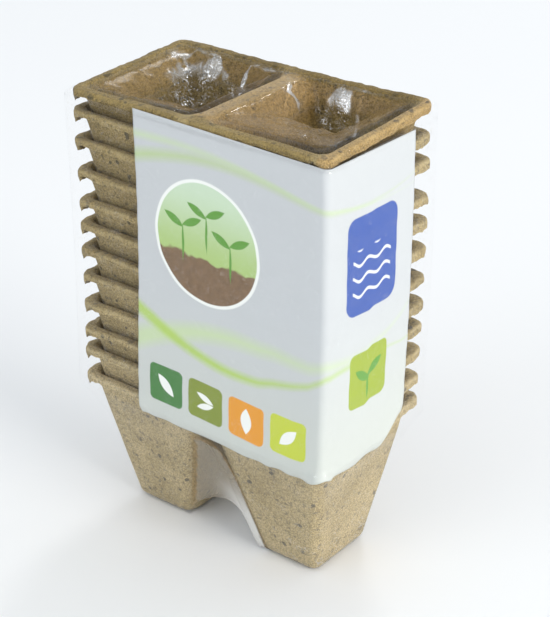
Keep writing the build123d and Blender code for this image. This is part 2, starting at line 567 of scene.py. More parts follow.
@dataclass(frozen=True)
class FibreFinish:
    """Pressed plant fibre: matt, mottled, with dark flecks and pale hairs."""

    shade: Colour = (0.300, 0.232, 0.116)
    light: Colour = (0.500, 0.400, 0.225)
    # Pale colour of the rim's brink: partly frayed fibre, partly a painted highlight along the fold's top
    # edge.
    edge: Colour = (0.620, 0.520, 0.330)
    fleck: Colour = (0.075, 0.074, 0.072)
    hair: Colour = (0.640, 0.530, 0.330)
    # Amber tint of the painted light on the top pair's lit right rim and web.
    painted_gold_tint: Colour = (1.00, 0.86, 0.66)
    fleck_share: float = 0.72
    edge_share: float = 0.75

    def build(self, hairs: Group) -> bpy.types.Material:
        """Make the material.

        Args:
            hairs: Group that draws fine hairs.

        Returns:
            The material.
        """
        made, wire, skin = new_finish("pressed_fibre", Specular_IOR_Level=0.22, Sheen_Weight=0.12,
                                      Sheen_Roughness=0.6)
        place = wire.body()
        mottle = wire.span(wire.grain(place, 42.0, 4.0, 0.55), 0.30, 0.70)
        cloud = wire.grain(place, 260.0, 5.0, 0.62)
        parts = [wire.math("MULTIPLY", part, 0.55) for part in (mottle, cloud)]
        mixed = wire.math("ADD", *parts, clamp=True)
        colour = wire.blend(mixed, self.shade, self.light)
        coarse = hairs.place(wire, Vector=place, Scale=420.0, Width=0.020)
        fine = hairs.place(wire, Vector=place, Scale=900.0, Width=0.030)
        hair = wire.math("MAXIMUM", wire.math("MULTIPLY", coarse, 0.40), wire.math("MULTIPLY", fine, 0.28))
        colour = wire.blend(hair, colour, self.hair)
        grit = wire.span(wire.grain(place, 1700.0, 2.5, 0.65), 0.32, 0.68, 0.62, 1.36)
        colour = wire.vector("MULTIPLY", colour, wire.join(grit, grit, grit))
        fleck = self.flecks(wire, place)
        colour = wire.blend(wire.math("MULTIPLY", fleck, self.fleck_share), colour, self.fleck)
        colour = self.frayed_and_painted_light(wire, place, colour)

        wire.feed(skin.inputs["Base Color"], colour)
        wire.feed(skin.inputs["Roughness"], wire.span(wire.grain(place, 500.0, 3.0), 0.3, 0.7, 0.82, 0.98))
        pulp = wire.math("MULTIPLY", wire.grain(place, 620.0, 7.0, 0.68, 0.6), 0.62)
        height = wire.sum(pulp, wire.grain(place, 170.0, 3.0, 0.5), 0.75)
        wire.relief(skin, wire.sum(wire.sum(height, hair, 0.16), fleck, 0.12), 0.75, 0.0011)
        return made

    def flecks(self, wire: Wiring, place: Any) -> Any:
        """Draw dark flecks of three kinds: round lumps, and crumbs that lie or stand.

        Args:
            wire: The material's tree.
            place: Object coordinates.

        Returns:
            Mask of the flecks.
        """
        stir = wire.node("ShaderNodeTexNoise", {"Vector": place, "Scale": 190.0, "Detail": 2.0})
        pushed = wire.vector("MULTIPLY_ADD", stir.outputs["Color"], (0.0042, 0.0042, 0.0016), place)
        fleck = None
        for stretch, scale, channel, least, most, soft, share in (
                ((1.0, 1.0, 1.0), 230.0, 0, 0.42, 0.30, 0.07, 1.0),
                ((1.0, 1.0, 0.42), 640.0, 1, 0.45, 0.42, 0.12, 0.62),
                ((0.45, 0.45, 1.1), 640.0, 1, 0.45, 0.42, 0.12, 0.62)):
            spot = wire.vector("MULTIPLY", pushed, stretch)
            cells = wire.node("ShaderNodeTexVoronoi", {"Vector": spot, "Scale": scale, "Randomness": 1.0})
            lot = wire.node("ShaderNodeSeparateColor", {0: cells.outputs["Color"]}).outputs[channel]
            inner = wire.math("SUBTRACT", wire.span(lot, least, 1.0, 0.0, most), cells.outputs["Distance"])
            one = wire.math("MULTIPLY", wire.math("DIVIDE", inner, soft, clamp=True), share)
            fleck = one if fleck is None else wire.math("MAXIMUM", fleck, one)
        return fleck

    def frayed_and_painted_light(self, wire: Wiring, place: Any, colour: Any) -> Any:
        """Pale the brinks where the fibre frays, partly with a painted highlight, and lay on the painted
        shade, painted light and painted amber light that the piece's own notes carry.

        Args:
            wire: The material's tree.
            place: Object coordinates.
            colour: Colour of fresh fibre.

        Returns:
            The final colour.
        """
        # Pale brink: partly frayed fibre, partly a painted highlight where the rim's top edge meets the
        # light.
        patches = wire.span(wire.grain(place, 330.0, 4.0, 0.65), 0.35, 0.62)
        frayed_and_highlit = wire.math("MULTIPLY", wire.noted("brink"), patches)
        colour = wire.blend(wire.math("MULTIPLY", frayed_and_highlit, self.edge_share), colour, self.edge)
        # Painted shade where the note is below 1, painted light where it is above 1, and painted amber light
        # where the second note says the fibre is lit.
        painted_shading = wire.noted("painted_shading")
        dark = wire.math("MINIMUM", painted_shading, 1.0)
        shades = wire.join(dark, wire.math("POWER", dark, 1.20), wire.math("POWER", dark, 2.1))
        lift = wire.math("MAXIMUM", painted_shading, 1.0)
        colour = wire.vector("MULTIPLY", colour, wire.vector("MULTIPLY", shades, wire.join(lift, lift, lift)))
        return wire.blend(wire.noted("painted_gold_light"), colour, wire.vector("MULTIPLY", colour, self.painted_gold_tint))


@dataclass(frozen=True)
class Tile:
    """One rounded tile of the print, in millimetres on the flat sleeve."""

    centre: tuple[float, float]
    half: tuple[float, float]
    corner: float
    colour: Colour
    soft: float = 0.4

    def mask(self, wire: Wiring, patch: Group, flat: Any) -> bpy.types.NodeSocket:
        """Place the tile in a material.

        Args:
            wire: The material's tree.
            patch: Group that draws rounded rectangles.
            flat: Print coordinates in millimetres.

        Returns:
            Its mask.
        """
        return patch.place(wire, Vector=flat, Centre=(*self.centre, 0.0), Half=(*self.half, 0.0),
                           Corner=self.corner, Soft=self.soft)


@dataclass(frozen=True)
class Leaf:
    """One leaf of the print, in millimetres on the flat sleeve."""

    centre: tuple[float, float]
    turn: float
    length: float
    fat: float
    colour: Colour


@dataclass(frozen=True)
class Ribbon:
    """One soft ribbon of the print, in millimetres on the flat sleeve."""

    base: float
    rise: float
    bow: float
    width: float
    soft: float
    colour: Colour
    share: float


@dataclass(frozen=True)
class PrintFinish:
    """Pale paper printed with soft ribbons, rounded tiles and leaves."""

    ground: Colour = (0.565, 0.588, 0.602)
    foot: Colour = (0.590, 0.620, 0.580)
    lime: Colour = (0.430, 0.620, 0.090)
    mint: Colour = (0.560, 0.720, 0.330)
    leaf_green: Colour = (0.120, 0.330, 0.045)
    soil: Colour = (0.105, 0.060, 0.032)
    crumb: Colour = (0.30, 0.19, 0.10)
    meadow: Colour = (0.42, 0.58, 0.20)
    sky: Colour = (0.600, 0.740, 0.560)
    pale: Colour = (0.900, 0.920, 0.880)
    plain: Colour = (0.640, 0.635, 0.610)
    hair: Colour = (0.45, 0.45, 0.43)
    upright: float = 1.57

    def ribbons(self) -> list[Ribbon]:
        """The soft ribbons, lowest print first."""
        return [Ribbon(34.0, 26.0, 6.0, 5.4, 5.0, self.mint, 0.65),
                Ribbon(47.0, -12.0, -9.0, 3.4, 3.0, self.lime, 0.85),
                Ribbon(108.0, 4.0, 5.0, 3.0, 4.0, self.lime, 0.60),
                Ribbon(116.0, -9.0, 3.0, 2.0, 2.6, self.mint, 0.55)]

    def tiles(self) -> list[Tile]:
        """The rounded tiles, lowest print first."""
        green, olive = (0.060, 0.210, 0.050), (0.230, 0.290, 0.040)
        orange, yellow_green = (0.790, 0.330, 0.030), (0.560, 0.640, 0.060)
        row = [Tile((14.0 + 19.0 * step, 17.0), (8.2, 8.2), 2.4, tint)
               for step, tint in enumerate((green, olive, orange, yellow_green))]
        return row + [Tile((111.0, 84.0), (15.0, 19.0), 5.0, (0.045, 0.100, 0.380)),
                      Tile((111.0, 38.0), (11.5, 11.5), 3.0, (0.330, 0.420, 0.040))]

    def leaves(self) -> list[Leaf]:
        """The leaves on tiles and in the round window."""
        pale, green, upright = self.pale, self.leaf_green, self.upright
        made = [Leaf((14.0, 17.0), 0.8, 5.6, 2.3, pale), Leaf((33.0, 18.5), 0.35, 4.4, 1.5, pale),
                Leaf((33.0, 15.0), -0.35, 4.4, 1.5, pale), Leaf((52.0, 17.0), upright, 5.6, 2.6, pale),
                Leaf((71.0, 17.0), -0.8, 5.6, 2.3, pale), Leaf((107.6, 39.5), 0.55, 5.4, 2.0, green),
                Leaf((114.6, 40.5), -0.55, 5.4, 2.0, green), Leaf((111.0, 34.0), upright, 6.0, 0.8, green)]
        for stem, tall in ((22.0, 88.0), (33.0, 94.0), (44.0, 86.0)):
            made += [Leaf((stem - 4.2, tall), 0.45, 5.2, 1.7, green),
                     Leaf((stem + 4.2, tall + 0.8), -0.45, 5.2, 1.7, green),
                     Leaf((stem, tall - 8.0), upright, 8.5, 0.7, green)]
        return made

    def build(self, hairs: Group) -> bpy.types.Material:
        """Make the material.

        Args:
            hairs: Group that draws fine hairs.

        Returns:
            The material.
        """
        made, wire, skin = new_finish("printed_paper", Specular_IOR_Level=0.42)
        patch, leaf, ribbon = patch_group(), leaf_group(), ribbon_group()
        sheet = wire.node("ShaderNodeUVMap", uv_map="UVMap").outputs[0]
        flat = wire.vector("MULTIPLY", sheet, (*SLEEVE_MM, 0.0))
        body = wire.body()

        colour = wire.blend(wire.span(wire.split(flat)[1], 0.0, 70.0), self.foot, self.ground)
        for band in self.ribbons():
            mask = ribbon.place(wire, Vector=flat, Base=band.base, Rise=band.rise, Bow=band.bow,
                                Width=band.width, Soft=band.soft)
            colour = wire.blend(wire.math("MULTIPLY", mask, band.share), colour, band.colour)
        colour = self.window(wire, patch, flat, colour)
        for tile in self.tiles():
            colour = wire.blend(tile.mask(wire, patch, flat), colour, tile.colour)
        for blade in self.leaves():
            mask = leaf.place(wire, Vector=flat, Centre=(*blade.centre, 0.0), Turn=blade.turn,
                              Length=blade.length, Fat=blade.fat)
            colour = wire.blend(mask, colour, blade.colour)
        colour = self.ripples(wire, patch, flat, colour)
        colour = wire.blend(wire.noted("inner"), colour, self.plain)

        hair = hairs.place(wire, Vector=body, Scale=1300.0, Width=0.05)
        colour = wire.blend(wire.math("MULTIPLY", hair, 0.05), colour, self.hair)
        wire.feed(skin.inputs["Base Color"], colour)
        wire.feed(skin.inputs["Roughness"], wire.span(wire.grain(body, 240.0, 3.0), 0.3, 0.7, 0.42, 0.55))
        wire.relief(skin, wire.sum(wire.grain(body, 95.0, 3.0, 0.5), hair, 0.05), 0.18, 0.0008)
        return made

    def window(self, wire: Wiring, patch: Group, flat: Any, colour: Any) -> Any:
        """Print a round window with soil under a pale sky.

        Args:
            wire: The material's tree.
            patch: Group that draws rounded rectangles.
            flat: Print coordinates in millimetres.
            colour: Colour under the window.

        Returns:
            Colour with the window.
        """
        up = wire.split(flat)[1]
        ground = wire.sum(72.0, wire.grain(flat, 0.11, 2.0), 8.0)
        depth = wire.span(wire.math("SUBTRACT", ground, up), -0.6, 0.6)
        haze = wire.blend(wire.span(up, 74.0, 106.0), self.meadow, self.sky)
        earth = wire.blend(wire.grain(flat, 0.42, 5.0, 0.7), self.soil, self.crumb)
        picture = wire.blend(depth, haze, earth)
        ring, inner = (Tile((33.0, 82.0), (radius, radius), radius, self.pale, soft).mask(wire, patch, flat)
                       for radius, soft in ((24.5, 0.5), (23.2, 0.4)))
        return wire.blend(inner, wire.blend(ring, colour, self.pale), picture)

    def ripples(self, wire: Wiring, patch: Group, flat: Any, colour: Any) -> Any:
        """Print pale wave lines on the blue tile of the end panel.

        Args:
            wire: The material's tree.
            patch: Group that draws rounded rectangles.
            flat: Print coordinates in millimetres.
            colour: Colour under the lines.

        Returns:
            Colour with the lines.
        """
        across = wire.split(flat)
        bend = wire.math("SINE", wire.math("MULTIPLY", across[0], 0.62))
        stripe = wire.math("SINE", wire.math("MULTIPLY", wire.sum(across[1], bend, 1.1), 1.05))
        area = Tile((111.0, 80.0), (11.5, 10.5), 3.0, self.pale, 0.6)
        line = wire.math("MULTIPLY", wire.span(stripe, 0.72, 0.86), area.mask(wire, patch, flat))
        return wire.blend(wire.math("MULTIPLY", line, 0.75), colour, area.colour)


@dataclass(frozen=True)
class FilmFinish:
    """Clear shrunk film: almost unseen, with gloss, and whitish where it is crinkled."""

    tint: Colour = (0.960, 0.965, 0.970)
    # Amber tints of the painted bounce light on the cover's haze, light and dark, and the darker tint of
    # painted shade where the film spans the cups.
    painted_bounce_tint: Colour = (0.620, 0.410, 0.180)
    painted_bounce_dark_tint: Colour = (0.190, 0.130, 0.060)
    shade_tint: Colour = (0.480, 0.425, 0.340)
    web_tint: Colour = (0.860, 0.850, 0.820)
    veil_share: float = 0.22
    web_share: float = 0.62

    def build(self) -> bpy.types.Material:
        """Make the material from the film's own notes of crinkles, veils and webs; the cover's amber haze is
        painted bounce light and the web's darker tint is painted shade.

        Returns:
            The material.
        """
        made, wire, skin = new_finish("clear_film")
        body = wire.body()
        crinkle, veil, web = wire.noted("crinkle"), wire.noted("veil"), wire.noted("web")
        facing = wire.node("ShaderNodeLayerWeight", {"Blend": 0.5}).outputs["Facing"]
        shine = wire.math("MULTIPLY_ADD", wire.math("POWER", facing, 5.0), 0.20, 0.003)
        streak = wire.span(wire.grain(body, 560.0, 3.0, 0.6, 1.6), 0.52, 0.66)
        haze = wire.math("MULTIPLY", crinkle, wire.math("MULTIPLY_ADD", streak, 0.50, 0.01))
        haze = wire.sum(wire.sum(haze, veil, self.veil_share), web, self.web_share)

        crumpled = wire.span(crinkle, 0.12, 0.45)
        hazy = wire.math("MULTIPLY", wire.span(web, 0.0, 0.10), wire.math("SUBTRACT", 1.0, crumpled))
        # Amber haze of painted bounce light, mottled lighter and darker.
        painted_bounce_mottle = wire.span(wire.grain(body, 950.0, 3.0, 0.65, 0.4), 0.36, 0.62)
        colour = wire.blend(hazy, self.tint, wire.blend(painted_bounce_mottle, self.painted_bounce_dark_tint, self.painted_bounce_tint))
        # Darker tint where the film spans the cups away from its dense low part: painted shade of the wall
        # behind it.
        colour = wire.blend(wire.span(web, 0.38, 0.47), colour, self.shade_tint)
        wire.feed(skin.inputs["Base Color"], wire.blend(wire.span(web, 0.50, 1.0), colour, self.web_tint))
        wire.feed(skin.inputs["Metallic"], wire.math("SUBTRACT", 1.0, hazy))
        wire.feed(skin.inputs["Alpha"], wire.math("ADD", shine, haze, clamp=True))
        gloss = wire.math("MULTIPLY_ADD", crinkle, 0.10, 0.06)
        wire.feed(skin.inputs["Roughness"], wire.sum(gloss, wire.math("MAXIMUM", veil, web), 0.45))
        fine = wire.math("MULTIPLY", wire.grain(body, 520.0, 3.0, 0.55, 1.0), crinkle)
        wire.relief(skin, wire.sum(wire.grain(body, 85.0, 3.0, 0.5, 0.8), fine, 0.55), 0.55, 0.0012)
        return made


# Shared sizes of the stack

@dataclass(frozen=True)
class StackSizes:
    """Sizes that the pots, the sleeve and the film share."""

    pairs: int = 12
    pot_height: float = 0.0600
    pitch: float = 0.0108597
    base: float = 0.0002
    rim_length: float = 0.1195
    rim_width: float = 0.0645
    rim_corner: float = 0.0060
    lip_depth: float = 0.0046
    foot_outer: float = 0.04545
    foot_inner: float = 0.01795
    foot_side: float = 0.0160
    draft_outer: float = 0.01105
    draft_inner: float = 0.01595
    draft_side: float = 0.0135

    @property
    def top(self) -> float:
        """Height of the highest rim."""
        return self.base + self.pot_height + (self.pairs - 1) * self.pitch

    @property
    def lowest_lip(self) -> float:
        """Height of the lower edge of the lowest rim."""
        return self.base + self.pot_height - self.lip_depth

    def rise(self, z: Points) -> Points:
        """Share of the lowest pots' height that a height has reached."""
        return (z - self.base) / self.pot_height

    def cup_outer(self, z: Points) -> Points:
        """Outer face of the lowest cups at a height, along X from the middle."""
        return self.foot_outer + self.draft_outer * self.rise(z)

    def cup_inner(self, z: Points) -> Points:
        """Facing walls of the two lowest cups at a height, along X from the middle."""
        return self.foot_inner - self.draft_inner * self.rise(z)

    def cup_side(self, z: Points) -> Points:
        """Front and back walls of the lowest cups at a height, along Y from the middle."""
        return self.foot_side + self.draft_side * self.rise(z)


@dataclass(frozen=True)
class RimWarp:
    """How far the soft rims have bent, layer by layer from the lowest up, in millimetres."""

    sizes: StackSizes
    front_left: tuple[float, ...] = (-0.1, 0.6, -1.4, -0.9, 0.3, 0.0, -0.5, -2.2, -1.0, 1.2, 1.5, -1.7)
    back_right: tuple[float, ...] = (2.6, 1.3, 1.9, 2.0, 0.3, -0.5, 0.6, 0.7, -0.8, 2.4, 1.1, 1.6)
    front_right: tuple[float, ...] = (0.0, 0.3, -0.3, 0.2, 0.0, -0.4, 0.2, 0.0, -0.3, 0.2, -0.5, -1.6)
    back_left: tuple[float, ...] = (0.0, 0.0, 0.0, 0.0, 0.0, 0.0, 0.0, 0.0, 0.0, 0.0, 0.5, 1.3)
    tilt: float = 1.2
    swells: tuple[Swell, ...] = (Swell(0.00075, 0.042, 1.0), Swell(0.00035, 0.013, 2.0))
    layer_shift: float = 0.023

    def lift(self, rows: Points, layer: float) -> Points:
        """Height that the rim has gained.

        Args:
            rows: Rows whose first two columns are x and y.
            layer: Number of the layer.

        Returns:
            A length for each row.
        """
        along = np.clip(rows[:, 0] / (self.sizes.rim_length / 2), -1.0, 1.0)
        across = np.clip(rows[:, 1] / (self.sizes.rim_width / 2), -1.0, 1.0)
        left, right = (1.0 - along) / 2, (1.0 + along) / 2
        front, back = (1.0 - across) / 2, (1.0 + across) / 2
        step = int(layer) - 1
        bent = self.front_left[step] * left ** 2 * front ** 0.8
        bent = bent + self.back_right[step] * right ** 2 * back ** 1.2
        bent = bent + self.front_right[step] * right ** 2 * front
        bent = bent + self.back_left[step] * left ** 2 * back
        plan = np.column_stack([rows[:, 0], rows[:, 1], np.full(len(rows), self.layer_shift * layer)])
        return bent * MM + Swell.total(self.swells, plan)

    def lean(self, z: Points) -> Points:
        """How far the stack leans towards the sleeved end at a height."""
        return self.tilt * ease(z, 0.050, 0.125) * (1.0 - 0.35 * ease(z, 0.140, 0.180)) * MM


# The pots

@dataclass
class TwinPots:
    """The stack of twin pots: one is modelled, and each layer is a copy with its own warp."""

    sizes: StackSizes
    warp: RimWarp
    wall: float = 0.0017
    floor: float = 0.0017
    mouth: tuple[float, float] = (0.0511, 0.0556)
    mouth_centre: float = 0.02925
    foot: tuple[float, float] = (0.02487, 0.02937)
    foot_centre: float = 0.03163
    inset: float = 0.0008
    cup_corner: float = 0.0040
    rim_fold: float = 0.0013
    mouth_fold: float = 0.0024
    foot_fold: float = 0.0022
    flange_zone: float = 0.0100
    corner_rise: float = 0.0400
    web_near: float = 0.0060
    mesh_step: float = 0.0017
    rim_cuts: tuple[float, ...] = (0.0025, 0.0033, 0.0040)
    wall_cuts: tuple[float, float, float] = (0.006, 0.055, 0.006)
    merge: float = 0.00012
    fine_depth: float = 0.0062
    fine_band: tuple[float, float] = (0.0035, 0.0030)
    rim_depth: float = 0.0055
    lip_band: tuple[float, float] = (0.0030, 0.0026)
    end_band: tuple[float, float] = (0.0055, 0.0022)
    side_lip: float = 0.32
    end_lips: tuple[float, float] = (1.10, 0.58)
    drawn_in: tuple[float, float] = (0.0009, 0.0004)
    hook_curl: tuple[float, float] = (0.0008, 0.0001)
    square: tuple[float, float] = (0.05, 0.20)
    web_sag: float = 0.0014
    fray: tuple[Swell, ...] = (Swell(0.00045, 0.0085, 3.0), Swell(0.00050, 0.0021, 4.0))
    fray_bite: float = 0.0001
    rags: tuple[Swell, ...] = (Swell(0.00060, 0.0060, 5.0), Swell(0.00050, 0.0015, 6.0))
    lumps: tuple[Swell, ...] = (Swell(0.00030, 0.0026, 16.0),)
    wall_swells: tuple[Swell, ...] = (Swell(0.00011, 0.013, 7.0),)
    # Painted shade that deepens upwards layer by layer, painted light on the right rim and the web, and on
    # the top pair painted light on edges facing away from the light and painted shade on the far rim.
    layer_painted_shade: Line = ((1, 1.0), (3, 0.88), (8, 0.80), (11, 0.76), (12, 0.60))
    brow_painted_light: float = 0.88
    web_painted_light: float = 0.86
    lee_painted_light: float = 0.30
    lee_width: float = 0.0028
    far_shade: float = 0.25

    def model(self) -> bpy.types.Object:
        """Model one pair at rest on z = 0 with straight rims.

        Returns:
            The pair.
        """
        size = self.sizes
        tall = size.pot_height
        Bench.clear()
        bpy.ops.mesh.primitive_plane_add(size=1.0, location=(0.0, 0.0, 0.0))
        piece = bpy.context.active_object
        Bench.edit(piece)
        bpy.ops.transform.resize(value=(size.rim_length, size.rim_width, 1.0))
        bpy.ops.transform.translate(value=(0.0, 0.0, tall))
        Bench.pick(Element.VERTEX, lambda vertex: True)
        bpy.ops.mesh.bevel(offset=size.rim_corner, segments=7, affect="VERTICES")
        Bench.pick(Element.EDGE, lambda edge: edge.is_boundary)
        bpy.ops.mesh.extrude_edges_move(TRANSFORM_OT_translate={"value": (0.0, 0.0, -size.lip_depth)})
        Bench.pick(Element.EDGE, lambda edge: self.level(edge, tall))
        bpy.ops.mesh.bevel(offset=self.rim_fold, segments=4, affect="EDGES")
        Bench.slice(Axis.X, (0.0,))
        Bench.pick(Element.FACE, self.is_panel)
        bpy.ops.mesh.inset(thickness=self.inset, use_individual=True)
        for side in (-1.0, 1.0):
            self.draw_cup(side)
        self.round_off()
        self.refine()
        Bench.clear()
        Bench.thicken(piece, self.wall, -1.0)
        return piece

    @staticmethod
    def level(edge: Any, height: float) -> bool:
        """Whether an edge lies level at a height."""
        return all(abs(vertex.co.z - height) < LEVEL for vertex in edge.verts)

    @staticmethod
    def is_panel(face: Any) -> bool:
        """Whether a face is a cup's share of the flat flange."""
        return face.normal.z > 0.99 and face.calc_area() > 0.001

    def draw_cup(self, side: float) -> None:
        """Draw one cup down from its mouth.

        Args:
            side: -1 for the left cup and 1 for the right.
        """
        tall = self.sizes.pot_height
        Bench.pick(Element.FACE, lambda face: self.is_panel(face)
                   and face.calc_center_median().x * side > 0.01)
        half = self.sizes.rim_length / 2 - self.rim_fold
        ring = (half - 2 * self.inset, self.sizes.rim_width - 2 * (self.rim_fold + self.inset))
        bpy.ops.transform.translate(value=(side * (self.mouth_centre - half / 2), 0.0, 0.0))
        bpy.ops.transform.resize(value=(self.mouth[0] / ring[0], self.mouth[1] / ring[1], 1.0),
                                 center_override=(side * self.mouth_centre, 0.0, tall))
        drop = tall - self.floor
        shift = side * (self.foot_centre - self.mouth_centre)
        bpy.ops.mesh.extrude_region_move(TRANSFORM_OT_translate={"value": (shift, 0.0, -drop)})
        share = (self.foot[0] / self.mouth[0], self.foot[1] / self.mouth[1], 1.0)
        bpy.ops.transform.resize(value=share, center_override=(side * self.foot_centre, 0.0, self.floor))

    def round_off(self) -> None:
        """Round the cups' corners at the web, then their mouths and their floors."""
        tall = self.sizes.pot_height
        Bench.pick(Element.EDGE, lambda e: abs(e.verts[0].co.z - e.verts[1].co.z) > self.corner_rise
                   and min(abs(v.co.x) for v in e.verts) < self.web_near)
        bpy.ops.mesh.bevel(offset=self.cup_corner, segments=4, affect="EDGES")
        Bench.pick(Element.EDGE, lambda e: self.level(e, tall) and any(
            f.calc_center_median().z < tall - self.flange_zone for f in e.link_faces))
        bpy.ops.mesh.bevel(offset=self.mouth_fold, segments=4, affect="EDGES")
        Bench.pick(Element.EDGE, lambda e: self.level(e, self.floor) and any(
            f.calc_center_median().z > self.flange_zone for f in e.link_faces))
        bpy.ops.mesh.bevel(offset=self.foot_fold, segments=3, affect="EDGES")

    def refine(self) -> None:
        """Slice the pair finely enough to warp, and the rim finer still."""
        size, step = self.sizes, self.mesh_step
        tall, half_x, half_y = size.pot_height, size.rim_length / 2, size.rim_width / 2

        def at_brink(face: Any) -> bool:
            """Whether a face lies along the outer edge of the rim."""
            x, y, z = face.calc_center_median()
            out = abs(x) > half_x - self.fine_band[0] or abs(y) > half_y - self.fine_band[1]
            return z > tall - self.fine_depth and out

        Bench.slice(Axis.X, np.arange(-half_x + step, half_x, step))
        Bench.slice(Axis.Y, np.arange(-half_y + step, half_y, step))
        Bench.slice(Axis.Z, [*(tall - cut for cut in self.rim_cuts), *np.arange(*self.wall_cuts)])
        Bench.pick(Element.FACE, at_brink)
        bpy.ops.mesh.subdivide(number_cuts=1)
        Bench.order()
        bpy.ops.mesh.remove_doubles(threshold=self.merge)
        bpy.ops.mesh.normals_make_consistent(inside=False)

    def settle(self, rows: Points, layer: int) -> tuple[Points, Points]:
        """Warp one pair and set it in its layer.

        Args:
            rows: Vertices of the straight pair.
            layer: Number of the layer, 1 for the lowest.

        Returns:
            The warped rows, and how near each vertex is to the lip's brink.
        """
        size, tall = self.sizes, self.sizes.pot_height
        half_x, half_y = size.rim_length / 2, size.rim_width / 2
        x, y, z = rows.T
        made = rows.copy()
        end = ease(np.abs(x), *(half_x - band for band in self.end_band))
        outer = np.maximum(np.abs(x) - (half_x - self.lip_band[0]), np.abs(y) - (half_y - self.lip_band[1]))
        rim = z > tall - self.rim_depth
        bend = tall - self.rim_fold
        lip = (outer > 0.0) & (z < bend) & rim
        end_lip = np.where(x < 0.0, *self.end_lips)
        made[:, 2] = np.where(lip, bend - (bend - z) * (self.side_lip + (end_lip - self.side_lip) * end), z)
        hang = np.where((outer > 0.0) & rim, np.clip((tall - z) / size.lip_depth, 0.0, 1.0), 0.0)
        hidden = np.where(x > 0.0, 1.0 - ease(y, 0.014, 0.022), 0.0)
        drawn = np.where(x < 0.0, *self.drawn_in) + np.where(x < 0.0, *self.hook_curl) * ease(hang, 0.55, 1.0)
        made[:, 0] -= np.sign(x) * rim * end * drawn

        plan = np.column_stack([x, y, 0.25 * z + 0.037 * layer])
        over_x = np.sign(x) * np.maximum(np.abs(x) - (half_x - size.rim_corner), 0.0)
        over_y = np.sign(y) * np.maximum(np.abs(y) - (half_y - size.rim_corner), 0.0)
        away = np.maximum(np.hypot(over_x, over_y), 1e-9)
        near = rim * ease(outer, -0.0005, 0.0024)
        square = np.where((x > 0.0) & (y < 0.0), *self.square[::-1])
        squared = rim * square * (2.0 * over_x * over_y / away ** 2) ** 2
        rough = near * (Swell.total(self.fray, plan) - self.fray_bite)
        covered = np.maximum(hidden, (y < 0.0) * ease(x, -0.032, -0.026))
        rough = np.where(rough > 0.0, rough * (1.0 - 0.8 * covered), rough)
        made[:, 0] += rough * over_x / away + squared * over_x
        made[:, 1] += rough * over_y / away + squared * over_y
        ragged = ease(hang, 0.62, 1.0)
        made[:, 2] += ragged * Swell.total(self.rags, plan)
        made[:, 2] += near * (1.0 - ragged) * Swell.total(self.lumps, plan)

        made[:, :2] += Swell.total(self.wall_swells, rows)[:, None]
        web = np.exp(-(x / 0.0065) ** 2) * (1.0 - ease(np.abs(y), half_y - 0.012, half_y - 0.003))
        share = ease(z, tall - 0.014, tall - 0.002)
        made[:, 2] -= share * web * self.web_sag
        made[:, 2] += share * (0.45 + 0.55 * ease(outer, -0.004, 0.001)) * self.warp.lift(rows, layer)
        made[:, 2] += size.base + (layer - 1) * size.pitch
        made[:, 0] += self.warp.lean(made[:, 2])
        # Brink mask for the pale edge colour, which is partly a painted highlight along the rim's top.
        brink = rim * ease(outer, 0.0014, 0.0028) * (1.0 - ease(hang, 0.12, 0.35) + ease(hang, 0.80, 0.95))
        return made, brink

    def painted_shading(self, rows: Points, layer: int) -> tuple[Points, Points]:
        """Painted light and shade on the fibre of one layer.

        Upper layers get painted shade, deepest on the top pair, and the right rim and the web get painted
        light.
        On the top pair, edges that face away from the light get painted light and the far side of the rim
        gets painted shade.

        Args:
            rows: Vertices of the straight pair.
            layer: Number of the layer, 1 for the lowest.

        Returns:
            A factor of painted light and shade on the fibre's colour for each vertex, and the top pair's
            painted amber light.
        """
        half_x, half_y = self.sizes.rim_length / 2, self.sizes.rim_width / 2
        x, y, z = rows.T
        down = self.sizes.pot_height - z
        inside = 1.0 - ease(np.abs(y), half_y - 0.007, half_y - 0.004)
        brow = ease(x, half_x - 0.0060, half_x - 0.0035) * (1.0 - ease(down, 0.005, 0.008))
        web = inside * (1.0 - ease(np.abs(x), 0.008, 0.013)) * (1.0 - 0.4 * ease(down, 0.004, 0.030))
        # Painted shade by layer, raised by painted light on the right rim and the web.
        whole = np.interp(layer, *np.array(self.layer_painted_shade).T)
        whole = np.maximum(whole, np.maximum(self.brow_painted_light * brow, self.web_painted_light * web))
        right_edges = self.mouth_centre + self.mouth[0] / 2, self.mouth[0] / 2 - self.mouth_centre
        # Painted light on the top pair's mouth edges that face away from the light, and painted shade on the
        # far rim.
        lee = sum(np.exp(-((x - edge) / self.lee_width) ** 2) for edge in right_edges)
        lee = lee * (1.0 - ease(down, 0.003, 0.007))
        far = ease(y, half_y - 0.0085, half_y - 0.0045) * ease(x, -0.045, -0.020) * (1.0 - brow)
        top = float(layer == self.sizes.pairs)
        return whole * (1.0 + top * (self.lee_painted_light * lee - self.far_shade * far)), top * np.maximum(brow, web)

    def build(self, finish: bpy.types.Material) -> list[bpy.types.Object]:
        """Build every layer.

        Args:
            finish: Material of the fibre.

        Returns:
            The pairs, lowest first.
        """
        pattern = self.model()
        rows = Bench.rows(pattern)
        made = []
        for layer in range(1, self.sizes.pairs + 1):
            piece = pattern.copy()
            piece.data = pattern.data.copy()
            bpy.context.collection.objects.link(piece)
            warped, brink = self.settle(rows, layer)
            Bench.shape(piece, warped)
            Bench.note(piece, "brink", brink)
            # Painted light and shade, and painted amber light, noted for the material.
            painted_shading, painted_gold_light = self.painted_shading(rows, layer)
            Bench.note(piece, "painted_shading", painted_shading)
            Bench.note(piece, "painted_gold_light", painted_gold_light)
            Bench.dress(piece, finish, f"twin_pot_{layer:02d}")
            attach(piece, "base" if layer == 1 else f"pair_{layer:02d}")
            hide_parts(f"pot_pair_{layer:02d}")
            log.info("%s: %d faces", piece.name, len(piece.data.polygons))
            made.append(piece)
        bpy.data.objects.remove(pattern, do_unlink=True)
        return made


# The paper sleeve

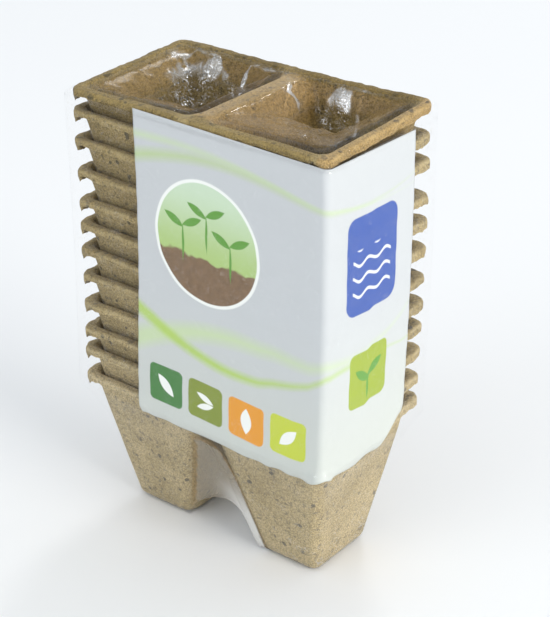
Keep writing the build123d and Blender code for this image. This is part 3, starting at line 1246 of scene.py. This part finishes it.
@dataclass
class PaperSleeve:
    """The printed strip round the front and the right end, tucked in under the lowest rim."""

    sizes: StackSizes
    warp: RimWarp
    left: float = -0.0255
    slant: float = 0.0022
    back: float = 0.0176
    gap: float = 0.00035
    thickness: float = 0.00022
    corner: float = 0.0026
    tuck: float = 0.0027
    across: int = 190
    up: int = 170
    ring_height: float = 0.00007
    swells: tuple[Swell, ...] = (Swell(0.00010, 0.021, 8.0), Swell(0.00005, 0.006, 9.0))
    top_line: Line = (
        (0.0, 177.6), (30.0, 176.9), (60.0, 176.0), (86.0, 175.3), (110.0, 175.0), (137.0, 174.7))
    low_line: Line = (
        (0.0, 52.6), (8.0, 53.1), (29.0, 52.8), (48.0, 51.6), (57.0, 50.9), (63.0, 51.9), (72.0, 51.6),
        (78.5, 52.2), (82.5, 54.4), (85.5, 56.6), (88.0, 55.6), (98.0, 52.2), (109.0, 50.2), (112.0, 51.9),
        (118.0, 51.4), (124.0, 52.0), (130.0, 53.2), (136.0, 57.0))

    @property
    def front(self) -> float:
        """Length of the straight front panel."""
        return self.sizes.rim_length / 2 + self.gap - self.corner - self.left

    @property
    def bend(self) -> float:
        """Length of the arc at the corner."""
        return self.corner * math.pi / 2

    @property
    def length(self) -> float:
        """Length of the whole strip."""
        return self.front + self.bend + self.back + self.sizes.rim_width / 2 + self.gap - self.corner

    def fold(self) -> float:
        """Place of the corner along the strip."""
        return self.front + self.bend / 2

    def plan(self, along: Points) -> tuple[Points, Points]:
        """Place of the strip seen from above.

        Args:
            along: Lengths from the left edge.

        Returns:
            Rows of x and y, and rows of the outward direction.
        """
        far_x = self.sizes.rim_length / 2 + self.gap
        far_y = self.sizes.rim_width / 2 + self.gap
        turn = np.clip((along - self.front) / self.corner, 0.0, math.pi / 2)
        out = np.column_stack([np.sin(turn), -np.cos(turn)])
        x = np.where(along < self.front, self.left + along, far_x - self.corner + self.corner * np.sin(turn))
        past = np.maximum(along - self.front - self.bend, 0.0)
        y = -far_y + self.corner - self.corner * np.cos(turn) + past
        return np.column_stack([x, y]), out

    def low(self, along: Points) -> Points:
        """Height of the wavy lower edge."""
        return np.interp(along, *np.array(self.low_line).T * MM)

    def high(self, along: Points) -> Points:
        """Height of the upper edge."""
        return np.interp(along, *np.array(self.top_line).T * MM)

    def setback(self, along: Points, z: Points) -> Points:
        """How far the paper is drawn in from the rims.

        Args:
            along: Lengths from the left edge.
            z: Heights.

        Returns:
            Lengths inwards, below 0 where the paper stands out.
        """
        lip = self.sizes.lowest_lip
        pinch = np.exp(-((along - self.fold()) / 0.0052) ** 2)
        tail = ease(along, self.length - 0.011, self.length)
        begin = lip + 0.0012 + 0.0090 * tail
        deep = np.clip((begin - z) / (0.0055 + 0.007 * tail), 0.0, 1.3) ** 1.4
        drawn = (self.tuck * (1.0 - pinch) + 0.0022 * tail) * deep
        proud = 0.0021 * pinch * ease(lip + 0.0045 - z, 0.0, 0.0045)
        wave = 0.00040 * np.sin(along * 420.0 + 3.0 * np.sin(along * 95.0)) * deep * (1.0 - pinch)
        return drawn - proud + wave

    def build(self, finish: bpy.types.Material) -> bpy.types.Object:
        """Build the sleeve.

        Args:
            finish: Material of the printed paper.

        Returns:
            The sleeve.
        """
        Bench.clear()
        bpy.ops.mesh.primitive_grid_add(x_subdivisions=self.across, y_subdivisions=self.up, size=1.0)
        piece = bpy.context.active_object
        rows = Bench.rows(piece) + 0.5
        along = rows[:, 0] * self.length
        z = self.low(along) + rows[:, 1] * (self.high(along) - self.low(along))
        spot, out = self.plan(along)
        sheet = np.column_stack([along, z, np.zeros(len(z))])
        rings = np.cos((z - self.sizes.base - self.sizes.pot_height) / self.sizes.pitch * 2.0 * math.pi)
        outward = self.ring_height * rings + Swell.total(self.swells, sheet) - self.setback(along, z)
        spot = spot + out * outward[:, None]
        spot[:, 0] -= self.slant * (1.0 - ease(along, 0.0, self.front)) * (1.0 - ease(z, 0.050, 0.150))
        Bench.shape(piece, np.column_stack([spot[:, 0] + self.warp.lean(z), spot[:, 1], z]))
        Bench.thicken(piece, self.thickness, 1.0)
        halves = np.split(Bench.rows(piece)[:, 1], 2)
        first_is_inner = halves[0].mean() > halves[1].mean()
        Bench.note(piece, "inner", np.repeat((first_is_inner, not first_is_inner), len(along)).astype(float))
        Bench.dress(piece, finish, "printed_sleeve")
        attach(piece, "base")
        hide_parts("paper_sleeve")
        log.info("%s: %d faces, strip %.4f long", piece.name, len(piece.data.polygons), self.length)
        return piece


# The clear film

@dataclass
class FilmWrap:
    """The film under the floors, between the lowest cups and up round the stack."""

    sizes: StackSizes
    sleeve: PaperSleeve
    thickness: float = 0.0001
    hug: float = 0.00035
    gap: float = 0.00085
    cut: float = 0.1760
    bridge: float = 0.0290
    arch: float = 0.0142
    arch_half: float = 0.0187
    foot: float = 0.0022
    corner: float = 0.0028
    foot_corner: float = 0.0042
    swells: tuple[Swell, ...] = (Swell(0.00010, 0.030, 10.0), Swell(0.00005, 0.008, 11.0))
    slack: float = 0.00005
    columns: int = 61
    ranks: int = 35
    web_past: tuple[float, float] = (0.0044, -0.0010)
    flat: tuple[float, float] = (0.352, 0.182)

    def lower(self, x: Points) -> Points:
        """Height of the film's underside, which arches between the two floors."""
        return self.arch * np.clip(1.0 - (x / self.arch_half) ** 2, 0.0, 1.0) ** 0.62

    def reach(self, z: Points) -> tuple[Points, Points, Points]:
        """How far the film stands out at a height.

        Args:
            z: Heights.

        Returns:
            Half lengths, half widths and corner radii.
        """
        size = self.sizes
        lip = size.lowest_lip
        bow = np.clip((z - self.bridge) / (lip - self.bridge), 0.0, 1.0) ** 2.3
        low = np.minimum(z, lip)
        rise_x = size.rim_length / 2 + self.gap - size.cup_outer(lip) - self.hug
        rise_y = size.rim_width / 2 + self.gap - size.cup_side(lip) - self.hug
        inset = self.foot - np.sqrt(np.maximum(self.foot ** 2 - np.maximum(self.foot - z, 0.0) ** 2, 0.0))
        half_x = size.cup_outer(low) + self.hug + rise_x * bow - inset
        half_y = size.cup_side(low) + self.hug + rise_y * bow - inset
        return half_x, half_y, self.foot_corner + (self.corner - self.foot_corner) * bow

    def saddle(self, x: Points, z: Points) -> Points:
        """How far the film is drawn in between the two cups.

        Args:
            x: Places along the pair.
            z: Heights.

        Returns:
            Lengths inwards.
        """
        lip = self.sizes.lowest_lip
        between = np.maximum(self.sizes.cup_inner(np.minimum(z, lip)), 0.003)
        bow = np.clip(1.0 - (x / between) ** 2, 0.0, 1.0)
        open_edge = 1.0 - ease(z - self.lower(x), 0.0, 0.016)
        return bow * (0.26 * between + 0.0022 * open_edge) * (1.0 - ease(z, lip - 0.012, lip - 0.001))

    def place(self, unit: Points) -> Points:
        """Set a box of unit rows round the stack.

        Args:
            unit: Rows from -1 to 1 across and 0 to 1 up.

        Returns:
            Rows of x, y and z.
        """
        a, b, c = unit.T
        floor_x = self.reach(np.zeros(len(a)))[0]
        x = a * floor_x
        low = self.lower(x)
        z = low + c * (self.cut - low)
        half_x, half_y, corner = self.reach(z)
        x = a * half_x
        low = self.lower(x)
        z = low + c * (self.cut - low)
        half_x, half_y, corner = self.reach(z)
        clear_x, clear_y = self.over_sleeve(a, b, x, z, half_x, half_y)
        plan = rounded(np.column_stack([a * clear_x, b * clear_y]), clear_x, clear_y, corner)
        plan[:, 1] -= b * self.saddle(plan[:, 0], z) * (np.abs(b) > 1e-6)
        made = np.column_stack([plan, z])
        bulge = np.maximum(Swell.total(self.swells, made), -self.slack) / 0.04
        made[:, :2] *= 1.0 + (bulge * (c > 0.0))[:, None]
        made[:, 0] += self.sleeve.warp.lean(z)
        return made

    def over_sleeve(self, a: Points, b: Points, x: Points, z: Points, half_x: Points,
                    half_y: Points) -> tuple[Points, Points]:
        """Keep the film outside the sleeve's tucked edge.

        Args:
            a: Unit places along the pair.
            b: Unit places across it.
            x: Places along the pair.
            z: Heights.
            half_x: Half lengths of the film.
            half_y: Half widths of the film.

        Returns:
            Half lengths and half widths that clear the sleeve.
        """
        size, sleeve = self.sizes, self.sleeve
        along = np.clip(x, None, size.rim_length / 2) - sleeve.left
        along = along + np.where(a > 0.999, (b + 1.0) * half_y, 0.0)
        there = ((b < -0.999) | (a > 0.999)) * ease(along, -0.002, 0.002)
        there = there * (1.0 - ease(along, sleeve.length - 0.001, sleeve.length + 0.002))
        under = ease(sleeve.low(along) - z, -0.0005, 0.0045)
        back = sleeve.setback(along, z) - 0.0008 + 0.02 * under
        far_x, far_y = size.rim_length / 2 + 0.0004 - back, size.rim_width / 2 + 0.0004 - back
        clear_x = half_x + there * np.maximum(far_x - half_x, 0.0) * (a > 0.999)
        clear_y = half_y + there * np.maximum(far_y - half_y, 0.0) * (b < -0.999)
        return clear_x, clear_y

    def masks(self, rows: Points) -> dict[str, Points]:
        """Where the film is crinkled, and where it spans the gap between the cups.

        Args:
            rows: Vertices of the shaped film.

        Returns:
            The masks that the material reads, by name.
        """
        x, z = rows[:, 0], rows[:, 2]
        foot = 1.0 - ease(z, 0.004, 0.030)
        crinkle = 0.02 + creases(rows, 0.010, 12.0) ** 2 * (0.12 + 0.60 * foot * ease(x, 0.020, 0.045))
        between = self.sizes.cup_inner(np.minimum(z, self.sizes.lowest_lip))
        beyond = np.abs(x) - between - np.where(x > 0.0, *self.web_past)
        web = (1.0 - ease(beyond, -0.0010, 0.0010)) * (1.0 - ease(z, 0.047, 0.054))
        # Dense, paler film low between the cups; elsewhere the web note takes the material's darker tint of
        # painted shade.
        dense = ease(x, -0.010, 0.010) * (1.0 - ease(z, 0.010, 0.040))
        return {"crinkle": np.clip(crinkle, 0.0, 1.0), "web": web * (0.50 + 0.50 * dense)}

    def build(self, finish: bpy.types.Material) -> bpy.types.Object:
        """Build the wrap.

        Args:
            finish: Material of the film.

        Returns:
            The wrap.
        """
        Bench.clear()
        bpy.ops.mesh.primitive_cube_add(size=2.0)
        piece = bpy.context.active_object
        Bench.edit(piece)
        bpy.ops.transform.resize(value=(1.0, 1.0, 0.5))
        bpy.ops.transform.translate(value=(0.0, 0.0, 0.5))
        Bench.pick(Element.FACE, lambda face: face.normal.z > 0.9)
        bpy.ops.mesh.delete(type="FACE")
        Bench.slice(Axis.X, np.linspace(-1.0, 1.0, self.columns)[1:-1])
        Bench.slice(Axis.Y, np.linspace(-1.0, 1.0, self.ranks)[1:-1])
        foot, cups = np.linspace(0.0, 0.014, 7)[1:], np.linspace(0.014, 0.060, 26)[1:]
        Bench.slice(Axis.Z, [height / self.cut for height in (*foot, *cups, *np.arange(0.064, 0.175, 0.004))])
        Bench.clear()
        Bench.shape(piece, self.place(Bench.rows(piece)))
        Bench.thicken(piece, self.thickness, -1.0)
        for name, mask in self.masks(Bench.rows(piece)).items():
            Bench.note(piece, name, mask)
        Bench.dress(piece, finish, "film_round_stack")
        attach(piece, "base")
        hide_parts("film_wrap")
        log.info("%s: %d faces", piece.name, len(piece.data.polygons))
        return piece


@dataclass(frozen=True)
class Dip:
    """Where the film is drawn down into one top cup: three level outlines as low and high corners in mm."""

    edge: tuple[float, float, float, float]
    waist: tuple[float, float, float, float]
    bottom: tuple[float, float, float, float]

    @staticmethod
    def between(x: Points, y: Points, outer: Sequence[float], inner: Sequence[float]) -> Points:
        """How far a place is from one outline to a smaller one inside it.

        Args:
            x: Places along the pair, in mm.
            y: Places across it, in mm.
            outer: Low x, low y, high x and high y of the larger outline.
            inner: The same of the smaller outline.

        Returns:
            Shares, 0 or less outside the larger outline and 1 or more inside the smaller.
        """
        sides = [(x - outer[0]) / (inner[0] - outer[0]), (y - outer[1]) / (inner[1] - outer[1]),
                 (outer[2] - x) / (outer[2] - inner[2]), (outer[3] - y) / (outer[3] - inner[3])]
        return -np.log(sum(np.exp(-9.0 * np.clip(side, -3.0, 4.0)) for side in sides)) / 9.0


@dataclass
class FilmCover:
    """The film over the top rim, drawn down into the two top cups."""

    sizes: StackSizes
    warp: RimWarp
    thickness: float = 0.0001
    gap: float = 0.00085
    clear: float = 0.00035
    skirt: float = 0.0034
    fold: float = 0.0022
    corner: float = 0.0030
    bevel: float = 0.85
    grid: tuple[int, int] = (200, 112)
    flat: tuple[float, float] = (0.074, 0.138)
    waist: float = 0.0050
    depth: float = 0.0150
    dips: tuple[Dip, ...] = (
        Dip((-53.0, -26.0, -5.5, 26.0), (-44.0, -13.0, -11.0, 21.5), (-36.0, -4.0, -18.0, 14.0)),
        Dip((5.5, -26.0, 53.0, 26.0), (12.0, -0.5, 40.0, 23.0), (19.0, 7.0, 35.0, 19.5)))
    seam: Line = (
        (-49.0, 19.8), (-44.9, 26.0), (-36.0, 25.0), (-18.9, 16.5), (-18.9, 25.0), (-11.2, 25.5),
        (-3.4, 24.7), (2.4, 20.6), (8.2, 13.2), (11.6, 14.0), (18.5, 9.7), (25.2, 5.3))
    folds: tuple[Line, ...] = (
        ((-37.0, -8.9), (-27.5, -11.6), (-16.8, -11.5), (-12.3, -7.3), (-14.9, 2.8), (-18.7, 14.4)),
        ((6.9, 19.0), (9.7, 9.4), (16.4, 1.6), (22.6, 0.1), (26.7, 1.8), (30.5, 6.0), (32.0, 12.0),
         (33.0, 20.0), (32.0, 27.0)))
    # Strength of the painted amber bounce light on the film's haze in each dip.
    painted_bounce_share: tuple[float, float] = (0.26, 0.33)
    spots: tuple[tuple[float, float, float], ...] = (
        (-40.0, 11.0, 5.0), (-31.0, 9.0, 4.0), (-51.0, 19.0, 3.5), (-42.0, 18.0, 3.5), (-35.0, 22.0, 3.0),
        (24.0, 23.0, 3.5))

    def sink(self, x: Points, y: Points) -> tuple[Points, Points, Points, Points]:
        """Depth of the film below the rim.

        Args:
            x: Places along the pair.
            y: Places across it.

        Returns:
            Depths, and masks of the slopes where the film gathers, of its hazy folds and of the painted amber
            bounce light on its haze.
        """
        deep, slope, veil, painted_bounce = np.zeros((4, len(x)))
        for side, dip in enumerate(self.dips):
            upper = np.clip(Dip.between(x / MM, y / MM, dip.edge, dip.waist), 0.0, 1.0)
            lower = np.clip(Dip.between(x / MM, y / MM, dip.waist, dip.bottom), 0.0, 1.0)
            middle = [(dip.bottom[k] + dip.bottom[k + 2]) / 2 * MM for k in (0, 1)]
            turn = np.arctan2(y - middle[1], x - middle[0])
            spoke = 0.5 + 0.5 * np.sin(9.0 * turn + 2.4 * np.sin(2.0 * turn + side) + 260.0 * np.hypot(
                x - middle[0], y - middle[1]))
            ring = ease(upper, 0.55, 1.0) * (1.0 - ease(lower, 0.55, 1.0))
            deep += self.waist * (0.35 * upper + 0.65 * upper ** 2)
            deep += (self.depth - self.waist) * ease(lower, -0.15, 1.05) + 0.0008 * ring * (spoke - 0.5)
            calm = 1.0 - ease(x / MM, dip.waist[0] - 2.0, dip.waist[0] + 6.0)
            slope += (ring * (0.30 + 0.70 * spoke ** 2) + 0.75 * ease(lower, 0.3, 0.9)) * (1.0 - 0.9 * calm)
            away = self.from_line(self.folds[side], x, y)
            outside = 1.0 - ease(lower, 0.0, 0.4)
            # Painted amber bounce light on the film's haze over the dips' upper slopes, where the cup walls
            # lie in shade.
            painted_bounce += self.painted_bounce_share[side] * ease(upper, 0.02, 0.30) * outside
            veil += 0.70 * (1.0 - ease(away, 0.0002, 0.0009))
            veil += 0.16 * (1.0 - ease(away, 0.0, 0.0080)) * outside
        return deep, np.clip(slope, 0.0, 1.0), np.clip(veil, 0.0, 1.0), painted_bounce

    @staticmethod
    def from_line(points: Sequence[tuple[float, float]], x: Points, y: Points) -> Points:
        """Distance of each place from a line.

        Args:
            points: Rows of x and y of the line, in mm.
            x: Places along the pair.
            y: Places across it.

        Returns:
            A length for each place.
        """
        line = np.array(points) * MM
        best = np.full(len(x), 1.0)
        for start, stop in zip(line[:-1], line[1:]):
            run = stop - start
            share = np.clip(((x - start[0]) * run[0] + (y - start[1]) * run[1]) / (run @ run), 0.0, 1.0)
            best = np.minimum(best, np.hypot(x - start[0] - share * run[0], y - start[1] - share * run[1]))
        return best

    def crumpled(self, x: Points, y: Points) -> Points:
        """Mask of the spots where the film is crumpled and glints."""
        return sum(np.exp(-((x - a * MM) ** 2 + (y - b * MM) ** 2) / (r * MM) ** 2) for a, b, r in self.spots)

    def place(self, unit: Points) -> tuple[Points, dict[str, Points]]:
        """Lay a unit grid over the rim.

        Args:
            unit: Rows from -1 to 1 both ways.

        Returns:
            Rows of x, y and z, and the masks that the material reads, by name.
        """
        size = self.sizes
        half = half_x, half_y = size.rim_length / 2 + self.gap, size.rim_width / 2 + self.gap
        square = unit[:, :2] * half
        whole = np.ones(len(square))
        plan = rounded(square, whole * half_x, whole * half_y, whole * self.corner)
        x, y = plan.T
        deep, slope, veil, painted_bounce = self.sink(x, y)
        rim = (np.abs(square) - half + self.fold).max(axis=1)
        over = np.clip(rim / self.fold, 0.0, 1.0)
        flat = np.column_stack([x, y, np.zeros(len(x))])
        wander = 0.0011 * waves(flat, 0.0042, 17.0)
        seam = 1.0 - ease(np.abs(self.from_line(self.seam, x, y) + wander), 0.0003, 0.0011)
        spot = np.clip(self.crumpled(x, y), 0.0, 1.0)
        crease = creases(flat, 0.0065, 13.0)
        tiny = 0.28 * waves(flat, 0.0045, 14.0) + 0.7 * crease * (0.4 * slope + spot) + 0.5 * seam
        z = size.top + self.warp.lift(flat, size.pairs) + self.clear - deep
        z = z + np.maximum(tiny, -0.2) * MM * (1.0 - over) - self.fold * self.bevel * over ** 2
        glint = creases(flat, 0.0030, 18.0) ** 2
        crinkle = 0.02 + 0.34 * slope * crease + seam * (0.2 + 0.5 * crease)
        crinkle = crinkle + spot * (0.10 + 0.55 * crease + 0.9 * glint)
        shifted = plan[:, 0] + self.warp.lean(np.full(len(z), size.top))
        # The painted bounce light goes out under the web note, which the material reads.
        masks = {"crinkle": np.clip(crinkle, 0.0, 1.0), "veil": veil, "web": painted_bounce}
        return np.column_stack([shifted, plan[:, 1], z]), masks

    def build(self, finish: bpy.types.Material) -> bpy.types.Object:
        """Build the cover.

        Args:
            finish: Material of the film.

        Returns:
            The cover.
        """
        Bench.clear()
        bpy.ops.mesh.primitive_grid_add(x_subdivisions=self.grid[0], y_subdivisions=self.grid[1], size=2.0)
        piece = bpy.context.active_object
        rows, masks = self.place(Bench.rows(piece))
        Bench.shape(piece, rows)
        for name, mask in masks.items():
            Bench.note(piece, name, mask)
        Bench.edit(piece)
        drop = (self.skirt - self.fold * self.bevel) / 2
        for _ in range(2):
            Bench.pick(Element.EDGE, lambda edge: edge.is_boundary)
            bpy.ops.mesh.extrude_edges_move(TRANSFORM_OT_translate={"value": (0.0, 0.0, -drop)})
        Bench.clear()
        Bench.thicken(piece, self.thickness, -1.0)
        Bench.dress(piece, finish, "film_over_top")
        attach(piece, "cover")
        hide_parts("film_cover")
        log.info("%s: %d faces", piece.name, len(piece.data.polygons))
        return piece


# The studio

@dataclass(frozen=True)
class Lamp:
    """One soft area light, aimed at the stack."""

    name: str
    place: tuple[float, float, float]
    size: float
    power: float
    colour: Colour = (1.0, 1.0, 1.0)


@dataclass
class Studio:
    """Pale floor, soft light and a camera at the photograph's angle."""

    azimuth: float = 38.28
    elevation: float = 26.86
    distance: float = 0.61892
    target: tuple[float, float, float] = (0.01316, 0.0, 0.09758)
    lens: float = 108.31
    lamps: tuple[Lamp, ...] = (Lamp("key_right", (2.7, -0.25, 1.05), 1.5, 56.0, (1.0, 0.97, 0.92)),
                               Lamp("fill_front", (-0.7, -2.5, 1.3), 1.8, 14.0, (0.94, 0.97, 1.0)),
                               Lamp("glint_back", (-0.5, 1.5, 1.9), 0.5, 8.0))
    aim: tuple[float, float, float] = (0.0, 0.0, 0.1)
    sky: Colour = (0.92, 0.96, 1.00)
    sky_strength: float = 0.80
    floor_size: tuple[float, float, float] = (9.0, 9.0, 0.02)
    floor_tints: tuple[Colour, Colour] = ((0.855, 0.862, 0.868), (0.866, 0.872, 0.878))

    def floor(self) -> None:
        """Lay a wide pale floor."""
        Bench.clear()
        bpy.ops.mesh.primitive_cube_add(size=1.0, location=(0.0, 0.0, -self.floor_size[2] / 2))
        piece = bpy.context.active_object
        Bench.edit(piece)
        bpy.ops.transform.resize(value=self.floor_size)
        Bench.take(piece)
        bpy.ops.object.transform_apply(location=True, rotation=True, scale=True)
        finish, wire, skin = new_finish("pale_floor", Roughness=0.85, Specular_IOR_Level=0.1)
        wire.feed(skin.inputs["Base Color"], wire.blend(wire.grain(wire.body(), 3.0), *self.floor_tints))
        piece.data.materials.append(finish)
        piece.name = "pale_floor"

    def light(self) -> None:
        """Hang the lamps and set the sky."""
        for lamp in self.lamps:
            data = bpy.data.lights.new(lamp.name, "AREA")
            data.shape = "DISK"
            data.size = lamp.size
            data.energy = lamp.power
            data.color = lamp.colour
            hung = bpy.data.objects.new(lamp.name, data)
            hung.location = lamp.place
            way = Vector(self.aim) - Vector(lamp.place)
            hung.rotation_euler = way.to_track_quat("-Z", "Y").to_euler()
            bpy.context.collection.objects.link(hung)
        world = bpy.data.worlds.new("soft_sky")
        world.use_nodes = True
        back = world.node_tree.nodes["Background"]
        back.inputs["Color"].default_value = (*self.sky, 1.0)
        back.inputs["Strength"].default_value = self.sky_strength
        bpy.context.scene.world = world
        bpy.context.scene.view_settings.view_transform = "Standard"

    def camera(self) -> None:
        """Set the camera at the photograph's angle."""
        turn, tilt = math.radians(self.azimuth), math.radians(self.elevation)
        back = Vector((math.sin(turn) * math.cos(tilt), -math.cos(turn) * math.cos(tilt), math.sin(tilt)))
        data = bpy.data.cameras.new("photo_camera")
        data.sensor_fit = "HORIZONTAL"
        data.sensor_width = 36.0
        data.lens = self.lens
        data.clip_start = 0.01
        stand = bpy.data.objects.new("photo_camera", data)
        stand.location = Vector(self.target) + self.distance * back
        stand.rotation_euler = (-back).to_track_quat("-Z", "Y").to_euler()
        bpy.context.collection.objects.link(stand)
        bpy.context.scene.camera = stand

    def build(self) -> None:
        """Build the whole studio."""
        self.floor()
        self.light()
        self.camera()


def plain(box: Iterable[Iterable[float]]) -> list[list[float]]:
    """A box as plain lists of numbers."""
    return [[float(value) for value in corner] for corner in box]


def main() -> None:
    """Build the dressed pack, piece by piece."""
    logging.basicConfig(level=logging.INFO, format="%(name)s: %(message)s")
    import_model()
    sizes = StackSizes()
    warp = RimWarp(sizes)
    hairs = hairs_group()
    TwinPots(sizes, warp).build(FibreFinish().build(hairs))
    sleeve = PaperSleeve(sizes, warp)
    sleeve.build(PrintFinish().build(hairs))
    film = FilmFinish().build()
    FilmWrap(sizes, sleeve).build(film)
    FilmCover(sizes, warp).build(film)
    Studio().build()


if __name__ == "__main__":
    main()
